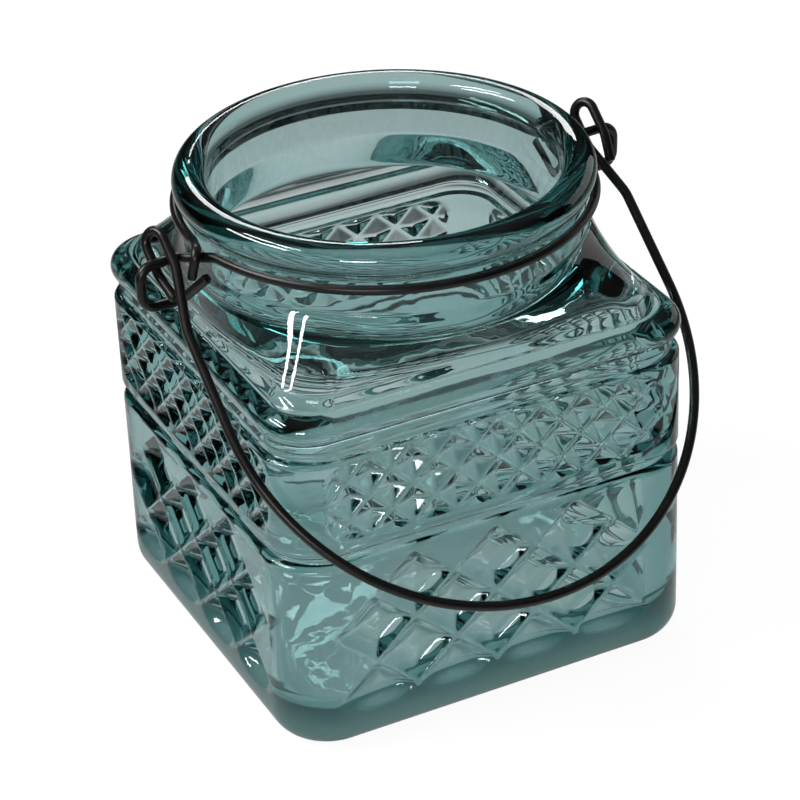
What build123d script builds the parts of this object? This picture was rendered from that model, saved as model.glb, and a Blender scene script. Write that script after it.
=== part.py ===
from build123d import *
import os
from math import sin, cos, tan, pi, radians, sqrt, atan2, acos

# Square pressed-glass lantern jar with a two-piece wire collar and a swinging
# wire bail. Millimetres, +Z up, origin at the centre of the base.
# The jar's flat sides face +X, -X, +Y and -Y; the front is -Y.

# ---------------------------------------------------------------- jar sizes
# A half width and a plan corner radius describe each rounded-square slab.
BODY_HALF, BODY_CORNER = 50.4, 13.5
BODY_TOP = 48.0
HEEL_FILLET, BODY_TOP_FILLET = 6.4, 1.6
CORE_HALF, CORE_CORNER = 47.6, 11.0        # bottom of the grooves by the belt
CORE_Z0, CORE_Z1 = 44.0, 80.0
BELT_HALF, BELT_CORNER = 50.0, 12.0
BELT_Z0, BELT_Z1 = 50.0, 73.6
BELT_LOW_FILLET, BELT_TOP_FILLET = 1.5, 1.3
LIP_HALF, LIP_CORNER = 50.0, 11.0          # lip below the shoulder
LIP_Z0, LIP_Z1 = 76.0, 83.9
LIP_LOW_FILLET, LIP_TOP_FILLET = 3.4, 3.8

NECK_R = 44.4               # outside radius of the round neck
NECK_Z0 = 97.0              # where the shoulder has become round
BEAD_R, BEAD_TUBE_R = 42.5, 3.8
BEAD_Z = 110.2
NECK_TOP = BEAD_Z - 3.0
NECK_OVERLAP = 0.5          # the neck starts this far inside the shoulder
BACKING_HEIGHT = 4.0        # solid wall behind the lower half of the bead

INSIDE_HALF, INSIDE_CORNER = 44.6, 9.0
FLOOR_Z, INSIDE_TOP = 6.5, 79.0
FLOOR_FILLET = 6.0
MOUTH_R = 38.7
MOUTH_Z0 = 95.0             # where the cavity has become round
MOUTH_OVERLAP = 0.1
MOUTH_CUT = 30              # reaches well past the rim

# Loft stations: half width, corner radius, height. Equal first two = circle.
SHOULDER_STATIONS = [
    (46.8, 13.0, 82.6),
    (46.2, 24.0, 88.0),
    (44.9, 38.0, 93.5),
    (NECK_R, NECK_R, NECK_Z0),
]
CAVITY_STATIONS = [
    (INSIDE_HALF, INSIDE_CORNER, INSIDE_TOP),
    (42.5, 20.0, 84.5),
    (40.0, 34.0, 90.0),
    (MOUTH_R, MOUTH_R, MOUTH_Z0),
]
SIDE_ANGLE = radians(16)    # half angle of the circle arc matching a flat side

# --------------------------------------------------------------- wire sizes
WIRE_R = 1.1
COLLAR_R, COLLAR_Z = 45.9, 105.0           # centre line of the collar
HINGE_TURN = radians(4.2)                  # hinge axis turned about Z from +X
HINGE_Z = 104.0
HOOK_ANGLE, LOOP_ANGLE = 172.0, 13.0       # ends of the collar arc, degrees

LOOP_LEAD = 4               # tangent run from the collar arc to its first bend
LOOP_INNER, LOOP_OUTER = 51.2, 60.3        # upper strand's corners on the axis
LOOP_BEND = 3.2
LOOP_LOW_Z = HINGE_Z - 9.7                 # the loop's lower strand

BOW_R = 56.1
LEG_HALF_GAP = 55.7         # half distance between the legs at the axis
BOW_CENTRE = 39.4           # bow centre below the axis, along the bail
BAIL_TILT = radians(44.1)   # rest angle below horizontal, towards -Y
LEG_BEND_DIST, LEG_BEND = 16.0, 12.0       # bend's distance from the axis, radius
EYE_CENTRE = 54.6           # centre of a bail eye along the hinge axis
EYE_TOP = 7.0               # top of an eye beyond the axis
EYE_HALF = 2.64             # half width of an eye
EYE_TWIST = radians(62.0)   # twist of the eye out of the bail's plane


# ------------------------------------------------------------------ the jar
def fillet_rim(solid, height, radius):
    """Round the edges that lie flat at the given height."""
    rim = solid.edges().filter_by(
        lambda edge: abs(edge.bounding_box().min.Z - height) < 1e-4
        and abs(edge.bounding_box().max.Z - height) < 1e-4)
    return fillet(rim, radius)


def slab(half, corner, z0, z1, low_fillet=0, top_fillet=0):
    outline = RectangleRounded(2 * half, 2 * half, corner)
    solid = extrude(Plane.XY.offset(z0) * outline, z1 - z0)
    if low_fillet:
        solid = fillet_rim(solid, z0, low_fillet)
    if top_fillet:
        solid = fillet_rim(solid, z1, top_fillet)
    return solid


def section(half, corner, z):
    """Rounded square of eight edges, or a circle split into eight to match."""
    is_circle = corner >= half - 0.01
    flat = half - corner
    diagonal = flat + corner * cos(pi / 4)
    edges = []
    for quarter in range(4):
        turn = quarter * pi / 2

        def polar(angle):
            return (half * cos(turn + angle), half * sin(turn + angle), z)

        def turned(x, y):
            return (x * cos(turn) - y * sin(turn), x * sin(turn) + y * cos(turn), z)

        if is_circle:
            edges += [ThreePointArc(polar(-SIDE_ANGLE), polar(0), polar(SIDE_ANGLE)),
                      ThreePointArc(polar(SIDE_ANGLE), polar(pi / 4),
                                    polar(pi / 2 - SIDE_ANGLE))]
        else:
            edges += [Line(turned(half, -flat), turned(half, flat)),
                      ThreePointArc(turned(half, flat), turned(diagonal, diagonal),
                                    turned(flat, half))]
    return Wire(edges)


def loft_stations(stations):
    return loft([Face(section(*station)) for station in stations])


def cylinder_from(z0, radius, height):
    return Pos(0, 0, z0) * Cylinder(radius, height,
                                    align=(Align.CENTER, Align.CENTER, Align.MIN))


def make_jar():
    body = slab(BODY_HALF, BODY_CORNER, 0, BODY_TOP, HEEL_FILLET, BODY_TOP_FILLET)
    core = slab(CORE_HALF, CORE_CORNER, CORE_Z0, CORE_Z1)
    belt = slab(BELT_HALF, BELT_CORNER, BELT_Z0, BELT_Z1, BELT_LOW_FILLET, BELT_TOP_FILLET)
    lip = slab(LIP_HALF, LIP_CORNER, LIP_Z0, LIP_Z1, LIP_LOW_FILLET, LIP_TOP_FILLET)
    shoulder = loft_stations(SHOULDER_STATIONS)
    neck_base = NECK_Z0 - NECK_OVERLAP
    neck = cylinder_from(neck_base, NECK_R, NECK_TOP - neck_base)
    bead = Pos(0, 0, BEAD_Z) * Torus(BEAD_R, BEAD_TUBE_R)
    backing = cylinder_from(BEAD_Z - BACKING_HEIGHT, BEAD_R, BACKING_HEIGHT)
    outer = body + core + belt + lip + shoulder + neck + backing + bead

    cavity = slab(INSIDE_HALF, INSIDE_CORNER, FLOOR_Z, INSIDE_TOP, FLOOR_FILLET)
    cavity_top = loft_stations(CAVITY_STATIONS)
    mouth = cylinder_from(MOUTH_Z0 - MOUTH_OVERLAP, MOUTH_R, MOUTH_CUT)
    return outer - (cavity + cavity_top + mouth)


# ------------------------------------------------------------- wire helpers
def hinge_point(s, w, z):
    """Point from hinge coordinates: s along the axis, w towards the front."""
    return Vector(s * cos(HINGE_TURN) + w * sin(HINGE_TURN),
                  s * sin(HINGE_TURN) - w * cos(HINGE_TURN), z)


def bent_run(corners, place):
    """Straight runs with a rounded bend at each inner corner, edges in order.
    Corners are three coordinates for place() and a bend radius."""
    points = [place(*corner[:3]) for corner in corners]
    edges = []
    start = points[0]
    for i in range(1, len(points) - 1):
        corner, radius = points[i], corners[i][3]
        back = (points[i - 1] - corner).normalized()
        ahead = (points[i + 1] - corner).normalized()
        turn = pi - acos(max(-1, min(1, back.dot(ahead))))
        setback = radius * tan(turn / 2)
        arc_start, arc_end = corner + back * setback, corner + ahead * setback
        inward = (back + ahead).normalized()
        middle = corner + inward * (radius / cos(turn / 2) - radius)
        edges.append(Line(start, arc_start))
        edges.append(ThreePointArc(arc_start, middle, arc_end))
        start = arc_end
    edges.append(Line(start, points[-1]))
    return edges


def tube(edges):
    profile = Plane(origin=edges[0] @ 0, z_dir=edges[0] % 0) * Circle(WIRE_R)
    return sweep(profile, path=Wire(edges))


# --------------------------------------------------------------- the collar
def collar_point(degrees):
    """Hinge coordinates on the collar, from the -s end round the front."""
    angle = radians(degrees)
    return (-COLLAR_R * cos(angle), COLLAR_R * sin(angle), COLLAR_Z)


def make_neck_wire():
    """Front half: a hook at +X that crosses over the other half's loop, an arc
    round the neck, and a loop at -X with its upper strand on the hinge axis."""
    arc_start, arc_end = collar_point(HOOK_ANGLE), collar_point(LOOP_ANGLE)
    # Corners: s, w, z, bend radius
    hook = [
        (51.0, -5.6, 101.2, 0),
        (50.0, -7.2, 108.2, 1.9),
        (46.0, 2.43, 105.0, 5.0),
        (*arc_start, 0),
    ]
    angle = radians(LOOP_ANGLE)
    loop = [
        (*arc_end, 0),
        (arc_end[0] - LOOP_LEAD * sin(angle), arc_end[1] - LOOP_LEAD * cos(angle),
         COLLAR_Z, 6.0),
        (-LOOP_INNER, 0, HINGE_Z, 2.2),
        (-LOOP_OUTER, 0, HINGE_Z, LOOP_BEND),
        (-LOOP_OUTER, 0.3, LOOP_LOW_Z, LOOP_BEND),
        (-51.3, 0.9, LOOP_LOW_Z, 3.0),
        (-48.3, 7.8, 101.6, 0),
    ]
    middle = collar_point((HOOK_ANGLE + LOOP_ANGLE) / 2)
    arc = ThreePointArc(hinge_point(*arc_start), hinge_point(*middle),
                        hinge_point(*arc_end))
    return tube(bent_run(hook, hinge_point) + [arc] + bent_run(loop, hinge_point))


# ----------------------------------------------------------------- the bail
def bail_point(s, t, n):
    """Point from bail coordinates: s along the axis, t along the legs away
    from the axis, n out of the bail's plane."""
    return hinge_point(s, t * cos(BAIL_TILT) + n * sin(BAIL_TILT),
                       HINGE_Z - t * sin(BAIL_TILT) + n * cos(BAIL_TILT))


def eye_point(across, t):
    """Bail coordinates on the -X eye; across is positive towards the leg."""
    return (-EYE_CENTRE + across * cos(EYE_TWIST), t, across * sin(EYE_TWIST))


def bow_end():
    """Where a line from the leg's place on the axis touches the bow's circle."""
    distance = sqrt(LEG_HALF_GAP ** 2 + BOW_CENTRE ** 2)
    angle = atan2(-BOW_CENTRE, LEG_HALF_GAP) + acos(min(1, BOW_R / distance))
    return (-BOW_R * cos(angle), BOW_CENTRE + BOW_R * sin(angle), 0)


def eye_and_leg(side):
    """Edges of one end: side 1 is at -X, and -1 is the same turned half round,
    so both eyes open the same way when seen from one side."""
    def place(s, t, n):
        return bail_point(s * side, t, n * side)

    eye_arc_t = -(EYE_TOP - EYE_HALF)
    free_side = eye_point(-EYE_HALF, eye_arc_t)
    leg_side = eye_point(EYE_HALF, eye_arc_t)
    end = bow_end()
    part = LEG_BEND_DIST / end[1]
    leg_bend_s = -LEG_HALF_GAP + (end[0] + LEG_HALF_GAP) * part
    free = bent_run([
        (*eye_point(-1.05, 8.4), 0),
        (*eye_point(-EYE_HALF, 2.2), 6.0),
        (*free_side, 0),
    ], place)
    arch = ThreePointArc(place(*free_side), place(*eye_point(0, -EYE_TOP)),
                         place(*leg_side))
    leg = bent_run([
        (*leg_side, 0),
        (*eye_point(EYE_HALF, 2.5), 8.0),
        (leg_bend_s, end[1] * part, 0, LEG_BEND),
        (*end, 0),
    ], place)
    return free + [arch] + leg


def make_bail():
    s, t, n = bow_end()
    bow = ThreePointArc(bail_point(s, t, n), bail_point(0, BOW_CENTRE + BOW_R, 0),
                        bail_point(-s, t, n))
    return tube(eye_and_leg(1)) + tube([bow]) + tube(eye_and_leg(-1))


# ------------------------------------------------------------------- export
neck_wire = make_neck_wire()
parts = {
    "glass_jar": make_jar(),
    "neck_wire_front": neck_wire,
    "neck_wire_rear": Rot(0, 0, 180) * neck_wire,
    "bail_handle": make_bail(),
}
os.makedirs("parts", exist_ok=True)
for name, part in parts.items():
    export_step(part, f"parts/{name}.step")
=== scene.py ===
"""Square pressed-glass jar with two neck wires and a swinging bail handle.

The jar stands on z = 0 around the z axis, with its front face toward -y. The bail hinges
near the left and right of the neck and hangs forward and down. Shapes are worked out in
millimetres and scaled to metres when meshes are made; lights, floor and camera are in metres.
"""
import bpy
import math
import numpy as np
from mathutils import Matrix, Vector


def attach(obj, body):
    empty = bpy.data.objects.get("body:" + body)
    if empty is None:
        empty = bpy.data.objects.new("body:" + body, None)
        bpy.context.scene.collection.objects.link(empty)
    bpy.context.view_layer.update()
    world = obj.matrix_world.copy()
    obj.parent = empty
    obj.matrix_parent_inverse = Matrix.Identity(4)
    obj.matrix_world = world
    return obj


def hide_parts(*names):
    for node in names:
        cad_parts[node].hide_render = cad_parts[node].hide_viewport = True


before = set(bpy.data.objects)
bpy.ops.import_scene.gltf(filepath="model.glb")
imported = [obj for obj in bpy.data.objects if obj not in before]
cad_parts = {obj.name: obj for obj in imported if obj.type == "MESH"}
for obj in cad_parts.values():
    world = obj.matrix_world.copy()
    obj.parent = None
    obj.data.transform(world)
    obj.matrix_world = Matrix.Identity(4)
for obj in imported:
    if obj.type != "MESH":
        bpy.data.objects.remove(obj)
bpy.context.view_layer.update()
MM = 0.001


def mesh_object(name, vertices, faces, smooth=True, shade_flat=True):
    mesh = bpy.data.meshes.new(name)
    mesh.from_pydata([tuple(v) for v in vertices], [], faces, shade_flat=shade_flat)
    mesh.update()
    ob = bpy.data.objects.new(name, mesh)
    bpy.context.scene.collection.objects.link(ob)
    if smooth:
        mesh.polygons.foreach_set("use_smooth", [True] * len(mesh.polygons))
    return ob


# ------------------------------------------------------------ sunk diamonds
# Face coordinates in mm: x across the face from its middle, z up.
BIG_PITCH_X, BIG_PITCH_Z = 19.7, 17.3
BIG_X, BIG_Z = -1.5, 38.35             # middle of a cell in the top row
BIG_DEPTH = 3.3
BIG_HALF = 6.5                         # ridge to middle of a cell
BIG_WALL = 5.6                         # width of the sloping wall
BIG_ROUND = 0.3                        # softening of the ridge
BIG_POWER = 13.0                       # higher makes the diamonds sharper
BIG_LAST_ROW = 3
BIG_REACH_EVEN, BIG_REACH_ODD = 20.5, 30.5
BIG_FADE = (8.6, 11.2)                 # heights over which the pattern starts

SMALL_PITCH_X, SMALL_PITCH_Z = 10.25, 9.6
SMALL_X, SMALL_Z = 0.1, 63.0           # a junction between two cells
SMALL_DEPTH = 2.25
SMALL_HALF = 3.5
SMALL_POWER = 9.0
PANEL_Z = 62.9                         # panel that holds the small diamonds
PANEL_HALF_X, PANEL_HALF_Z = 40.6, 9.9
PANEL_DEPTH = 0.25


def smooth_step(low, high, value):
    t = np.clip((value - low) / (high - low), 0, 1)
    return t * t * (3 - 2 * t)


def nearest_diamond(x, z, pitch_x, pitch_z, power):
    """Centre of the nearest cell, and a share: 0 at its middle, 1 on its ridge."""
    rising, falling = x / pitch_x + z / pitch_z, x / pitch_x - z / pitch_z
    rising0, falling0 = np.round(rising), np.round(falling)
    across, along = np.abs(rising - rising0) * 2, np.abs(falling - falling0) * 2
    share = (across ** power + along ** power) ** (1 / power)
    centre_x = pitch_x * (rising0 + falling0) / 2
    centre_z = pitch_z * (rising0 - falling0) / 2
    return centre_x, centre_z, np.clip(share, 0, 1)


def big_relief(x, z):
    centre_x, centre_z, share = nearest_diamond(
        x - BIG_X, z - BIG_Z, BIG_PITCH_X, BIG_PITCH_Z, BIG_POWER)
    row = np.round(-centre_z / (BIG_PITCH_Z / 2))
    reach = np.where(row % 2 == 0, BIG_REACH_EVEN, BIG_REACH_ODD)
    keep = (row >= 0) & (row <= BIG_LAST_ROW) & (np.abs(centre_x) < reach)
    inset = (1 - share) * BIG_HALF
    inset = np.sqrt(inset * inset + BIG_ROUND ** 2) - BIG_ROUND
    depth = BIG_DEPTH * (1 - (1 - np.clip(inset / BIG_WALL, 0, 1)) ** 2.2)
    return np.where(keep, depth, 0) * smooth_step(*BIG_FADE, z)


def small_relief(x, z):
    share = nearest_diamond(x - SMALL_X + SMALL_PITCH_X / 2, z - SMALL_Z,
                            SMALL_PITCH_X, SMALL_PITCH_Z, SMALL_POWER)[2]
    inset = (1 - share) * SMALL_HALF
    # Softened ridge, scaled to about 1 in the middle of a cell
    depth = SMALL_DEPTH * (np.sqrt(inset * inset + 0.06) - 0.245) / 3.26
    inside = 1 - (np.abs(x / PANEL_HALF_X) ** 8 + np.abs((z - PANEL_Z) / PANEL_HALF_Z) ** 5.0)
    return (depth * smooth_step(0.0, 0.20, inside)
            + PANEL_DEPTH * smooth_step(0.0, 0.12, inside))


# ------------------------------------------------------------ the glass jar
# "Half" is the half width of a rounded square, "corner" its corner radius.
BODY_HALF, BODY_CORNER = 50.4, 13.5
HEEL = 6.4                             # radius of the bottom edge
BODY_TOP = 46.4
BELT_BOTTOM, BELT_TOP = 51.3, 72.4
BELT_HALF, BELT_CORNER = 50.05, 12.0
BELT_DRAW_IN = 1.35
ROW_STEP = 0.45
LIP_HALF, LIP_CORNER = 50.0, 11.0
LIP_Z, LIP_RADIUS = 80.1, 3.75
NECK_RADIUS, NECK_BOTTOM, NECK_TOP = 44.4, 98.2, 106.6
BEAD_RING, BEAD_RADIUS, BEAD_Z = 42.5, 3.8, 110.2
BORE_RADIUS, BORE_TOP, BORE_BOTTOM = 38.7, 109.4, 93.6
INNER_HALF, INNER_CORNER = 45.3, 10.5
INNER_TOP, INNER_BOTTOM = 80.0, 13.5
INNER_COVE = 7.0                       # radius between inner wall and floor
UNDERSIDE_MID_Z, FLOOR_MID_Z = 0.95, 6.42

# Share of the outline's radius, z
UNDERSIDE = ((0.16, 0.95), (0.34, 0.95), (0.52, 0.93), (0.68, 0.9),
             (0.80, 0.82), (0.88, 0.62), (0.94, 0.22), (0.97, 0.05))
INNER_FLOOR = ((0.93, 6.32), (0.84, 6.2), (0.7, 6.15), (0.52, 6.2), (0.34, 6.3), (0.16, 6.4))
# z, half width, corner radius
LOWER_GROOVE = [(48.5, 48.75, 12.4), (49.0, 48.6, 12.4), (49.5, 48.65, 12.4)]
UPPER_GROOVE = [(74.1, 48.6, 12.0), (74.8, 48.4, 12.0), (75.5, 48.55, 11.6), (76.0, 48.9, 11.3)]
# z, depth, spread of the narrowings of the inner wall, level with the grooves
NARROWINGS = ((49.0, 0.55, 4.5), (74.8, 0.5, 4.0))

FLAT_STEPS, CORNER_STEPS = 180, 28     # columns along one flat and round one corner


def column_angles():
    """Angles of the mesh columns round z, from -y toward +x."""
    flat = BODY_HALF - BODY_CORNER
    flat_x = np.linspace(-flat, flat, FLAT_STEPS + 1)
    turn = math.pi / 2 - np.linspace(0, math.pi / 2, CORNER_STEPS + 1)[1:-1]
    corner_x = flat + BODY_CORNER * np.cos(turn)
    corner_y = flat + BODY_CORNER * np.sin(turn)
    side = np.concatenate([np.arctan2(flat_x, BODY_HALF), np.arctan2(corner_x, corner_y)])
    return np.concatenate([side + k * math.pi / 2 for k in range(4)])


ANGLES = column_angles()
FACE_ANGLES = (ANGLES + math.pi / 4) % (math.pi / 2) - math.pi / 4   # from own face's middle
COLUMNS = len(ANGLES)


def outline(half, corner):
    """Distance from the z axis to a rounded square, for every column."""
    angle = np.abs(FACE_ANGLES)
    flat = half - corner
    reach = flat * (np.cos(angle) + np.sin(angle))
    inside_root = np.maximum(reach * reach - (2 * flat * flat - corner * corner), 0)
    return np.where(np.tan(angle) * half <= flat, half / np.cos(angle),
                    reach + np.sqrt(inside_root))


def ripple(seed, size, z):
    """Slow unevenness of pressed glass, a fixed sum of sines."""
    random = np.random.RandomState(seed)
    total = np.zeros_like(ANGLES)
    for _ in range(9):
        turns = random.randint(1, 9)
        climb = random.uniform(0.02, 0.16)
        strength = random.uniform(0.4, 1.0)
        phase = random.uniform(0, 6.28)
        total += strength * np.sin(turns * ANGLES + climb * z + phase)
    return size * total / 3.0


def quarter_turn(steps):
    return [math.pi / 2 * k / steps for k in range(steps + 1)]


# Each *_rows function returns a list of (radius of every column, z).
def base_rows():
    """Shallow push-up under the jar, then the rounded heel."""
    base = outline(BODY_HALF - HEEL, BODY_CORNER - HEEL)
    rows = [(base * share, z) for share, z in UNDERSIDE]
    for a in quarter_turn(12):
        grow = HEEL * math.sin(a) - HEEL
        rows.append((outline(BODY_HALF + grow, BODY_CORNER + grow), HEEL * (1 - math.cos(a))))
    return rows


def rounded_edge(z, rise, half, draw_in, corner):
    return [(z + rise * math.sin(a), half - draw_in * (1 - math.cos(a)), corner)
            for a in quarter_turn(8)]


def side_rows():
    """Patterned body, lower groove, patterned belt and upper groove."""
    profile = [(z, BODY_HALF, BODY_CORNER)
               for z in np.arange(HEEL + ROW_STEP, BODY_TOP, ROW_STEP)]
    profile += rounded_edge(BODY_TOP, 1.7, BODY_HALF, 1.6, BODY_CORNER)
    profile += LOWER_GROOVE
    profile += rounded_edge(BELT_BOTTOM, -1.5, BELT_HALF, BELT_DRAW_IN, BELT_CORNER)[::-1]
    profile += [(z, BELT_HALF, BELT_CORNER)
                for z in np.arange(BELT_BOTTOM + ROW_STEP, BELT_TOP, ROW_STEP)]
    profile += rounded_edge(BELT_TOP, 1.2, BELT_HALF, BELT_DRAW_IN, BELT_CORNER)
    profile += UPPER_GROOVE
    rows = []
    for z, half, corner in profile:
        x = half * np.tan(FACE_ANGLES)
        face_x = np.clip(x, -46, 46)
        depth = np.where(np.abs(x) < 45, big_relief(face_x, z) + small_relief(face_x, z), 0)
        radius = outline(half, corner) - depth / np.maximum(np.cos(FACE_ANGLES), 0.7)
        rows.append((radius + ripple(seed=3, size=0.05, z=z), z))
    return rows


def lip_rows():
    """Half-round lip between the belt and the shoulder."""
    rows = []
    for k in range(-6, 9):
        a = math.pi / 2 * k / 8
        draw_in = LIP_RADIUS * (1 - math.cos(a))
        radius = outline(LIP_HALF - draw_in, LIP_CORNER - draw_in * 0.6)
        rows.append((radius + ripple(seed=3, size=0.05, z=LIP_Z),
                     LIP_Z + LIP_RADIUS * math.sin(a)))
    return rows


def shoulder_rows(start):
    """Shoulder from the square lip (radius per column: start) to the round neck."""
    rows = []
    bottom = LIP_Z + LIP_RADIUS
    steps = 44
    for k in range(1, steps + 1):
        t = k / steps
        swell = 0.35 * math.sin(math.pi * min(1, t * 6)) * (t < 1 / 6)
        z = bottom + swell + (NECK_BOTTOM - bottom) * t ** 0.97
        radius = NECK_RADIUS + (start - NECK_RADIUS) * (1 - t) ** 1.12
        rows.append((radius + ripple(seed=5, size=0.16 * math.sin(math.pi * t), z=z), z))
    return rows


def neck_rows():
    """Outside of the neck, the round bead on top, and the bore down inside."""
    rows = [(NECK_RADIUS + ripple(seed=7, size=0.05, z=z), z)
            for z in np.linspace(NECK_BOTTOM, NECK_TOP, 12)[1:]]
    for k in range(33):
        a = math.radians(-56 + (180 + 56) * k / 32)
        rows.append((BEAD_RING + BEAD_RADIUS * math.cos(a) + ripple(seed=9, size=0.03, z=110),
                     BEAD_Z + BEAD_RADIUS * math.sin(a)))
    rows += [(BORE_RADIUS + ripple(seed=11, size=0.12, z=z), z)
             for z in np.linspace(BORE_TOP, BORE_BOTTOM, 16)]
    return rows


def quadratic_curve(start, control, end, steps):
    t = np.linspace(0, 1, steps + 1)[1:, None]
    return ((1 - t) ** 2 * np.array(start) + 2 * t * (1 - t) * np.array(control)
            + t * t * np.array(end)).tolist()


def inside_rows():
    """Inner shoulder, inner wall, cove and floor."""
    wall = outline(INNER_HALF, INNER_CORNER)
    # Share of the way from bore to wall, z: a tight corner, a slope, a long curve
    path = quadratic_curve((0, BORE_BOTTOM), (0, 90.9), (0.26, 90.2), 12)
    path += [(0.26 + 0.44 * k / 12, 90.2 - 2.5 * k / 12) for k in range(1, 13)]
    path += quadratic_curve((0.70, 87.7), (1.0, 86.0), (1.0, INNER_TOP + 0.6), 16)
    rows = []
    for share, z in path:
        size = 0.12 + 0.25 * math.sin(math.pi * min(1, share))
        rows.append((BORE_RADIUS + (wall - BORE_RADIUS) * share
                     + ripple(seed=11, size=size, z=z), z))
    for z in np.linspace(INNER_TOP, INNER_BOTTOM, 50):
        narrowing = sum(depth * np.exp(-((z - middle) / spread) ** 2)
                        for middle, depth, spread in NARROWINGS)
        rows.append((wall - narrowing + ripple(seed=13, size=0.13, z=z), z))
    for a in quarter_turn(10)[1:]:
        radius = wall - INNER_COVE * (1 - math.cos(a)) * (wall / INNER_HALF)
        rows.append((radius + ripple(seed=13, size=0.13 * math.cos(a), z=INNER_BOTTOM),
                     INNER_BOTTOM - INNER_COVE * math.sin(a)))
    floor_edge = rows[-1][0]
    return rows + [(floor_edge * share, z) for share, z in INNER_FLOOR]


def build_jar():
    """One closed skin: up the outside, over the bead and down the inside."""
    rows = base_rows() + side_rows() + lip_rows()
    rows += shoulder_rows(start=rows[-1][0])
    rows += neck_rows() + inside_rows()
    radii = np.array([radius for radius, _ in rows])
    heights = np.repeat([z for _, z in rows], COLUMNS)
    skin = np.stack([(radii * np.sin(ANGLES)).ravel(),
                     (-radii * np.cos(ANGLES)).ravel(), heights], -1)
    vertices = np.vstack([skin, (0, 0, UNDERSIDE_MID_Z), (0, 0, FLOOR_MID_Z)]) * MM

    below = np.arange(len(rows) - 1)[:, None] * COLUMNS
    column = np.arange(COLUMNS)
    following = (column + 1) % COLUMNS
    quads = np.stack([below + column, below + following,
                      below + COLUMNS + following, below + COLUMNS + column], -1)
    last = len(skin) - COLUMNS
    underside = np.stack([np.full(COLUMNS, len(skin)), following, column], -1)
    floor = np.stack([np.full(COLUMNS, len(skin) + 1), last + column, last + following], -1)
    faces = quads.reshape(-1, 4).tolist() + underside.tolist() + floor.tolist()
    return mesh_object("glass_jar_visual", vertices, faces, shade_flat=False)


jar = build_jar()

# ---------------------------------------------------------------- the wires
WIRE_RADIUS = 1.1
WIRE_SIDES = 28
WIRE_STEP = 0.45
HINGE_TURN = math.radians(4.2)         # hinge axis, turned from +x toward +y
HINGE_Z = 104.0
RING_RADIUS, RING_Z = 45.9, 105.0      # wire round the neck
RING_START, RING_END = 172.0, 13.0     # degrees, from the left end of the axis
LOOP_IN, LOOP_OUT, LOOP_DROP = 51.2, 60.3, 9.7
BAIL_TILT = math.radians(44.1)         # bail plane, below horizontal
BOW_RADIUS, BOW_CENTRE = 56.1, 39.4
LEG_FOOT = 55.7                        # legs' lines meet the hinge axis here
LEG_BEND = 16.0                        # distance of the leg's bend from the axis
EYE_OFFSET = 54.6                      # eyes' middles along the hinge axis
EYE_LENGTH, EYE_RADIUS = 7.0, 2.64
EYE_TWIST = math.radians(62.0)
# Distance in from the wire's tip, share of its radius: domed, cut ends
TIP_RINGS = ((0.02, 0.55), (0.10, 0.80), (0.22, 0.95))


def hinge_point(along, forward, z):
    """A place given along the hinge axis (right) and forward of it (toward -y)."""
    c, s = math.cos(HINGE_TURN), math.sin(HINGE_TURN)
    return np.array([along * c + forward * s, along * s - forward * c, z])


def unit(v):
    return v / np.linalg.norm(v)


def rounded_path(corners):
    """Points along straight runs joined by arcs; corners are (point, radius)."""
    points = [corners[0][0]]
    for k in range(1, len(corners) - 1):
        corner, radius = corners[k]
        to_previous = unit(corners[k - 1][0] - corner)
        to_next = unit(corners[k + 1][0] - corner)
        turn = math.pi - math.acos(max(-1, min(1, float(to_previous @ to_next))))
        reach = radius * math.tan(turn / 2)
        centre = corner + unit(to_previous + to_next) * (radius / math.cos(turn / 2))
        start = corner + to_previous * reach - centre
        end = corner + to_next * reach - centre
        steps = max(3, int(turn * radius / 0.35))
        for step in range(steps + 1):
            t = step / steps
            spoke = math.sin((1 - t) * turn) * start + math.sin(t * turn) * end
            points.append(centre + spoke / math.sin(turn))
    points.append(corners[-1][0])
    return points


def resample(points, step):
    """Evenly spaced points along a path, with repeated points left out."""
    points = np.array(points)
    keep = [0]
    for k in range(1, len(points)):
        if np.linalg.norm(points[k] - points[keep[-1]]) > 1e-3:
            keep.append(k)
    points = points[keep]
    lengths = np.linalg.norm(np.diff(points, axis=0), axis=1)
    travelled = np.concatenate([[0], np.cumsum(lengths)])
    even = np.linspace(0, travelled[-1], int(travelled[-1] / step) + 1)
    return np.stack([np.interp(even, travelled, points[:, k]) for k in range(3)], 1)


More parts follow.
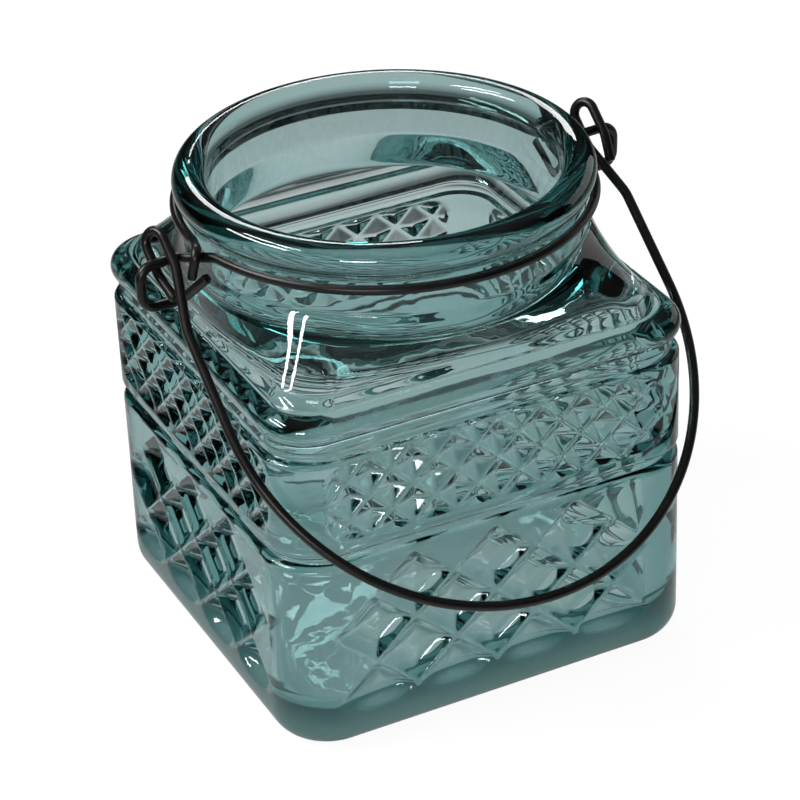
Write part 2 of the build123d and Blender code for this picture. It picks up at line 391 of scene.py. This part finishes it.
def wire_object(name, path):
    points = resample(path, WIRE_STEP)
    tangents = np.gradient(points, axis=0)
    tangents /= np.linalg.norm(tangents, axis=1)[:, None]
    # Carry one normal along the path so that the tube doesn't twist
    normal = np.array([0, 0, 1.0])
    if abs(tangents[0] @ normal) > 0.9:
        normal = np.array([1.0, 0, 0])
    normals = []
    for tangent in tangents:
        normal = unit(normal - (normal @ tangent) * tangent)
        normals.append(normal)
    # Rings: centre, normal, tangent, share of the wire's radius
    rings = [(points[0] + tangents[0] * inset, normals[0], tangents[0], share)
             for inset, share in TIP_RINGS]
    rings += [(points[k], normals[k], tangents[k], 1.0) for k in range(1, len(points) - 1)]
    rings += [(points[-1] - tangents[-1] * inset, normals[-1], tangents[-1], share)
              for inset, share in reversed(TIP_RINGS)]

    vertices = []
    for centre, normal, tangent, share in rings:
        side = np.cross(tangent, normal)
        for a in np.arange(WIRE_SIDES) * 2 * math.pi / WIRE_SIDES:
            vertices.append(centre + WIRE_RADIUS * share
                            * (math.cos(a) * normal + math.sin(a) * side))
    faces = []
    for k in range(len(rings) - 1):
        here, above = k * WIRE_SIDES, (k + 1) * WIRE_SIDES
        for i in range(WIRE_SIDES):
            j = (i + 1) % WIRE_SIDES
            faces.append((here + i, here + j, above + j, above + i))
    faces.append(tuple(reversed(range(WIRE_SIDES))))
    faces.append(tuple(range(len(vertices) - WIRE_SIDES, len(vertices))))
    return mesh_object(name, np.array(vertices) * MM, faces)


def neck_wire_path():
    """Front wire: hook at the right, round the front of the neck, loop at the left."""
    def ring_point(degrees):
        a = math.radians(degrees)
        return hinge_point(-RING_RADIUS * math.cos(a), RING_RADIUS * math.sin(a), RING_Z)

    hook = rounded_path([(hinge_point(51.0, -5.6, 101.2), 0), (hinge_point(50.0, -7.2, 108.2), 1.9),
                         (hinge_point(46.0, 2.43, 105.0), 5.0), (ring_point(RING_START), 0)])
    arc = [ring_point(RING_START + (RING_END - RING_START) * k / 300) for k in range(1, 300)]
    end = math.radians(RING_END)
    run_out = hinge_point(-4 * math.sin(end), -4 * math.cos(end), 0)
    loop = rounded_path([(ring_point(RING_END), 0),
                         (ring_point(RING_END) + run_out, 6.0),
                         (hinge_point(-LOOP_IN, 0, HINGE_Z), 2.2),
                         (hinge_point(-LOOP_OUT, 0, HINGE_Z), 3.2),
                         (hinge_point(-LOOP_OUT, 0.3, HINGE_Z - LOOP_DROP), 3.2),
                         (hinge_point(-51.3, 0.9, HINGE_Z - LOOP_DROP), 3.0),
                         (hinge_point(-48.3, 7.8, 101.6), 0)])
    return np.array(hook + arc + loop)


def bail_point(along, outward, lift, end=1):
    """A place in the bail's plane; end=-1 gives its twin at the right-hand leg."""
    lift = lift * end
    c, s = math.cos(BAIL_TILT), math.sin(BAIL_TILT)
    return hinge_point(along * end, outward * c + lift * s, HINGE_Z - outward * s + lift * c)


def bail_path():
    """Eye and leg at the left, bow, then leg and eye at the right."""
    # Where the straight leg touches the bow
    touch = (math.atan2(-BOW_CENTRE, LEG_FOOT)
             + math.acos(BOW_RADIUS / math.hypot(LEG_FOOT, BOW_CENTRE)))
    touch_along = -BOW_RADIUS * math.cos(touch)
    touch_out = BOW_CENTRE + BOW_RADIUS * math.sin(touch)
    bend_along = -LEG_FOOT + (touch_along + LEG_FOOT) * LEG_BEND / touch_out
    crown = EYE_RADIUS - EYE_LENGTH

    def eye_point(across, outward, end):
        return bail_point(-EYE_OFFSET + across * math.cos(EYE_TWIST), outward,
                          across * math.sin(EYE_TWIST), end)

    def eye_and_leg(end):
        free_end = rounded_path([(eye_point(-1.05, 8.4, end), 0),
                                 (eye_point(-EYE_RADIUS, 2.2, end), 6.0),
                                 (eye_point(-EYE_RADIUS, crown, end), 0)])
        arch = [eye_point(-EYE_RADIUS * math.cos(math.pi * k / 24),
                          crown - EYE_RADIUS * math.sin(math.pi * k / 24), end)
                for k in range(1, 24)]
        leg = rounded_path([(eye_point(EYE_RADIUS, crown, end), 0),
                            (eye_point(EYE_RADIUS, 2.5, end), 8.0),
                            (bail_point(bend_along, LEG_BEND, 0, end), 12.0),
                            (bail_point(touch_along, touch_out, 0, end), 0)])
        return free_end + arch + leg

    bow = [bail_point(-BOW_RADIUS * math.cos(a), BOW_CENTRE + BOW_RADIUS * math.sin(a), 0)
           for a in np.linspace(touch, math.pi - touch, 300)[1:-1]]
    return eye_and_leg(1) + bow + eye_and_leg(-1)[::-1]


neck_path = neck_wire_path()
front = wire_object("neck_wire_front_visual", neck_path)
# The rear wire is the front one turned half round the z axis
rear = wire_object("neck_wire_rear_visual", neck_path * np.array([-1, -1, 1]))
bail = wire_object("bail_handle_visual", bail_path())


# ---------------------------------------------------------------- materials
def empty_tree(owner):
    owner.use_nodes = True
    owner.node_tree.nodes.clear()
    return owner.node_tree


def add_node(tree, kind, inputs=None, **settings):
    """New shader node; an input is given a value, or an output to link from."""
    node = tree.nodes.new("ShaderNode" + kind)
    for name, value in settings.items():
        setattr(node, name, value)
    for key, value in (inputs or {}).items():
        if isinstance(value, bpy.types.NodeSocket):
            tree.links.new(value, node.inputs[key])
        else:
            node.inputs[key].default_value = value
    return node


def add_ramp(tree, factor, stops):
    """Colour ramp; stops are (position, colour)."""
    ramp = add_node(tree, "ValToRGB", {"Fac": factor})
    elements = ramp.color_ramp.elements
    for element, (position, colour) in zip(elements, (stops[0], stops[-1])):
        element.position = position
        element.color = colour
    for position, colour in stops[1:-1]:
        elements.new(position).color = colour
    return ramp.outputs[0]


def grey(value):
    return (value, value, value, 1)


def add_noise(tree, vector, scale, detail):
    noise = add_node(tree, "TexNoise", {"Vector": vector, "Scale": scale, "Detail": detail})
    return noise.outputs["Fac"]


def glass_material():
    material = bpy.data.materials.new("teal_pressed_glass")
    tree = empty_tree(material)
    place = add_node(tree, "TexCoord").outputs["Object"]
    # Broad ripple with a little fine grain on it
    broad = add_noise(tree, place, scale=55, detail=3)
    fine = add_noise(tree, place, scale=260, detail=2)
    height = add_node(tree, "Math", {0: fine, 1: 0.05, 2: broad}, operation="MULTIPLY_ADD")
    bump = add_node(tree, "Bump", {"Strength": 0.30, "Distance": 0.0005,
                                   "Height": height.outputs[0]})
    polish = add_node(tree, "MapRange", {"Value": fine, "To Min": 0.0, "To Max": 0.035})
    # The underside is stippled: rough and partly translucent
    z = add_node(tree, "SeparateXYZ", {0: place}).outputs["Z"]
    stipple = add_node(tree, "MapRange", {"Value": z, "From Min": 0.0011, "From Max": 0.0024,
                                          "To Min": 0.45, "To Max": 0.0}).outputs[0]
    roughness = add_node(tree, "Math", {0: stipple, 1: polish.outputs[0]}, operation="MAXIMUM")
    glass = add_node(tree, "BsdfPrincipled", {
        "Base Color": (0.965, 0.99, 0.99, 1),
        "Transmission Weight": 1.0,
        "IOR": 1.52,
        "Roughness": roughness.outputs[0],
        "Normal": bump.outputs["Normal"]})
    frosted = add_node(tree, "BsdfTranslucent", {"Color": (0.97, 0.99, 0.99, 1)})
    share = add_node(tree, "Math", {0: stipple, 1: 0.9}, operation="MULTIPLY")
    surface = add_node(tree, "MixShader", {0: share.outputs[0], 1: glass.outputs[0],
                                           2: frosted.outputs[0]})
    # The teal comes from the thickness of the glass
    tint = add_node(tree, "VolumeAbsorption", {"Color": (0.22, 0.585, 0.58, 1), "Density": 128})
    add_node(tree, "OutputMaterial", {"Surface": surface.outputs[0], "Volume": tint.outputs[0]})
    return material


def wire_material():
    material = bpy.data.materials.new("satin_dark_wire")
    tree = empty_tree(material)
    place = add_node(tree, "TexCoord").outputs["Object"]
    fine = add_noise(tree, place, scale=900, detail=4)
    broad = add_noise(tree, place, scale=120, detail=3)
    dark = add_ramp(tree, broad, ((0.35, (0.003, 0.0027, 0.0025, 1)),
                                  (0.75, (0.0085, 0.007, 0.0064, 1))))
    # Small worn specks, lighter than the rest
    worn = add_node(tree, "MapRange", {"Value": fine, "From Min": 0.66, "From Max": 0.78})
    colour = add_node(tree, "Mix", {0: worn.outputs[0], 6: dark,
                                    7: (0.045, 0.036, 0.032, 1)}, data_type="RGBA")
    roughness = add_node(tree, "MapRange", {"Value": broad, "To Min": 0.26, "To Max": 0.44})
    bump = add_node(tree, "Bump", {"Strength": 0.25, "Distance": 0.0002, "Height": fine})
    surface = add_node(tree, "BsdfPrincipled", {
        "Metallic": 0.25,
        "Coat Weight": 0.12,
        "Coat Roughness": 0.35,
        "Base Color": colour.outputs[2],
        "Roughness": roughness.outputs[0],
        "Normal": bump.outputs["Normal"]})
    add_node(tree, "OutputMaterial", {"Surface": surface.outputs[0]})
    return material


glass, dark_wire = glass_material(), wire_material()
jar.data.materials.append(glass)
for wire in (front, rear, bail):
    wire.data.materials.append(dark_wire)
for name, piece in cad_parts.items():
    piece.data.materials.clear()
    piece.data.materials.append(glass if name == "glass_jar" else dark_wire)

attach(jar, "jar")
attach(front, "jar")
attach(rear, "jar")
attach(bail, "bail")
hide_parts("glass_jar")
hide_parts("neck_wire_front")
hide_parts("neck_wire_rear")
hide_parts("bail_handle")

# --------------------------------------------------------------- studio set
FLOOR_RADIUS, FLOOR_Z, FLOOR_SIDES = 1.1, -0.0004, 96
# Distance from the middle of the floor (m), glow
FLOOR_GLOW = ((0.0, 0.50), (0.07, 0.50), (0.20, 0.54), (0.31, 0.30), (0.46, 0.04), (1.0, 0.02))
# Upward part of the direction, brightness
SKY = ((0.0, 0.015), (0.35, 0.02), (0.70, 0.12), (1.0, 0.22))
# Name, location, target, width, height (m), power (W)
AREA_LIGHTS = (
    ("window_left", (-0.70, 0.20, 0.66), (0, 0, 0.06), 0.60, 0.08, 4.6),
    ("window_left_high", (-0.55, 0.16, 0.80), (0, 0, 0.06), 0.50, 0.045, 2.6),
    ("window_front", (-0.68, -0.80, 0.42), (0, 0, 0.09), 0.34, 0.15, 3.2),
    ("card_right", (0.75, 0.15, 0.22), (0, 0, 0.05), 0.55, 0.35, 0.45),
    ("window_back", (0.25, 0.90, 0.75), (0, 0, 0.05), 0.40, 0.30, 3.0),
)


def floor_material():
    """Evenly pale to the camera, a fading pool of light to everything else."""
    material = bpy.data.materials.new("pale_floor")
    tree = empty_tree(material)
    seen = add_node(tree, "LightPath").outputs["Is Camera Ray"]
    place = add_node(tree, "TexCoord").outputs["Object"]
    distance = add_node(tree, "VectorMath", {0: place}, operation="LENGTH")
    pool = add_ramp(tree, distance.outputs["Value"], [(at, grey(v)) for at, v in FLOOR_GLOW])
    pool_glow = add_node(tree, "Emission", {"Color": pool})
    matt = add_node(tree, "BsdfDiffuse", {"Color": grey(0.15)})
    even_glow = add_node(tree, "Emission", {"Strength": 0.93})
    lit, pale = [add_node(tree, "AddShader", {0: matt.outputs[0], 1: glow.outputs[0]}).outputs[0]
                 for glow in (pool_glow, even_glow)]
    surface = add_node(tree, "MixShader", {0: seen, 1: lit, 2: pale})
    add_node(tree, "OutputMaterial", {"Surface": surface.outputs[0]})
    return material


def build_floor():
    material = floor_material()
    turns = [2 * math.pi * k / FLOOR_SIDES for k in range(FLOOR_SIDES)]
    rim = [(FLOOR_RADIUS * math.cos(a), FLOOR_RADIUS * math.sin(a), FLOOR_Z) for a in turns]
    floor = mesh_object("floor", rim, [tuple(range(FLOOR_SIDES))], smooth=False)
    floor.data.materials.append(material)


def build_world():
    """White to the camera, a dim sky brightening overhead to everything else."""
    world = bpy.data.worlds.new("studio")
    bpy.context.scene.world = world
    tree = empty_tree(world)
    seen = add_node(tree, "LightPath").outputs["Is Camera Ray"]
    direction = add_node(tree, "TexCoord").outputs["Generated"]
    upward = add_node(tree, "SeparateXYZ", {0: direction}).outputs["Z"]
    sky = add_ramp(tree, upward, [(at, grey(v)) for at, v in SKY])
    dim = add_node(tree, "Background", {"Color": sky})
    white = add_node(tree, "Background", {"Color": grey(1), "Strength": 1.0})
    mix = add_node(tree, "MixShader", {0: seen, 1: dim.outputs[0], 2: white.outputs[0]})
    add_node(tree, "OutputWorld", {0: mix.outputs[0]})


def build_light(name, location, target, width, height, power):
    light = bpy.data.lights.new(name, "AREA")
    light.shape = "RECTANGLE"
    light.size = width
    light.size_y = height
    light.energy = power
    ob = bpy.data.objects.new(name, light)
    ob.location = location
    aim = Vector(target) - Vector(location)
    ob.rotation_euler = aim.to_track_quat("-Z", "Y").to_euler()
    bpy.context.scene.collection.objects.link(ob)


def build_camera():
    """Camera in front, left of and above the jar, slightly rolled."""
    azimuth, elevation, roll = (math.radians(d) for d in (-25.667, 31.003, 2.481))
    target, distance = Vector((0, 0, 0.045)), 0.6992
    back = Vector((math.sin(azimuth) * math.cos(elevation),
                   -math.cos(azimuth) * math.cos(elevation), math.sin(elevation)))
    level = Vector((math.cos(azimuth), math.sin(azimuth), 0))
    upright = back.cross(level)
    up = upright * math.cos(roll) + level * math.sin(roll)
    right = level * math.cos(roll) - upright * math.sin(roll)
    lens = bpy.data.cameras.new("camera")
    camera = bpy.data.objects.new("camera", lens)
    bpy.context.scene.collection.objects.link(camera)
    turn = Matrix((right, up, back)).transposed().to_4x4()
    camera.matrix_world = Matrix.Translation(target + back * distance) @ turn
    lens.sensor_width = 36
    lens.lens = 137.871
    lens.shift_x = 0.00617
    lens.shift_y = 0.03155
    lens.clip_start = 0.01
    lens.clip_end = 50
    bpy.context.scene.camera = camera


build_floor()
build_world()
for light in AREA_LIGHTS:
    build_light(*light)
build_camera()
bpy.context.scene.view_settings.view_transform = "Standard"

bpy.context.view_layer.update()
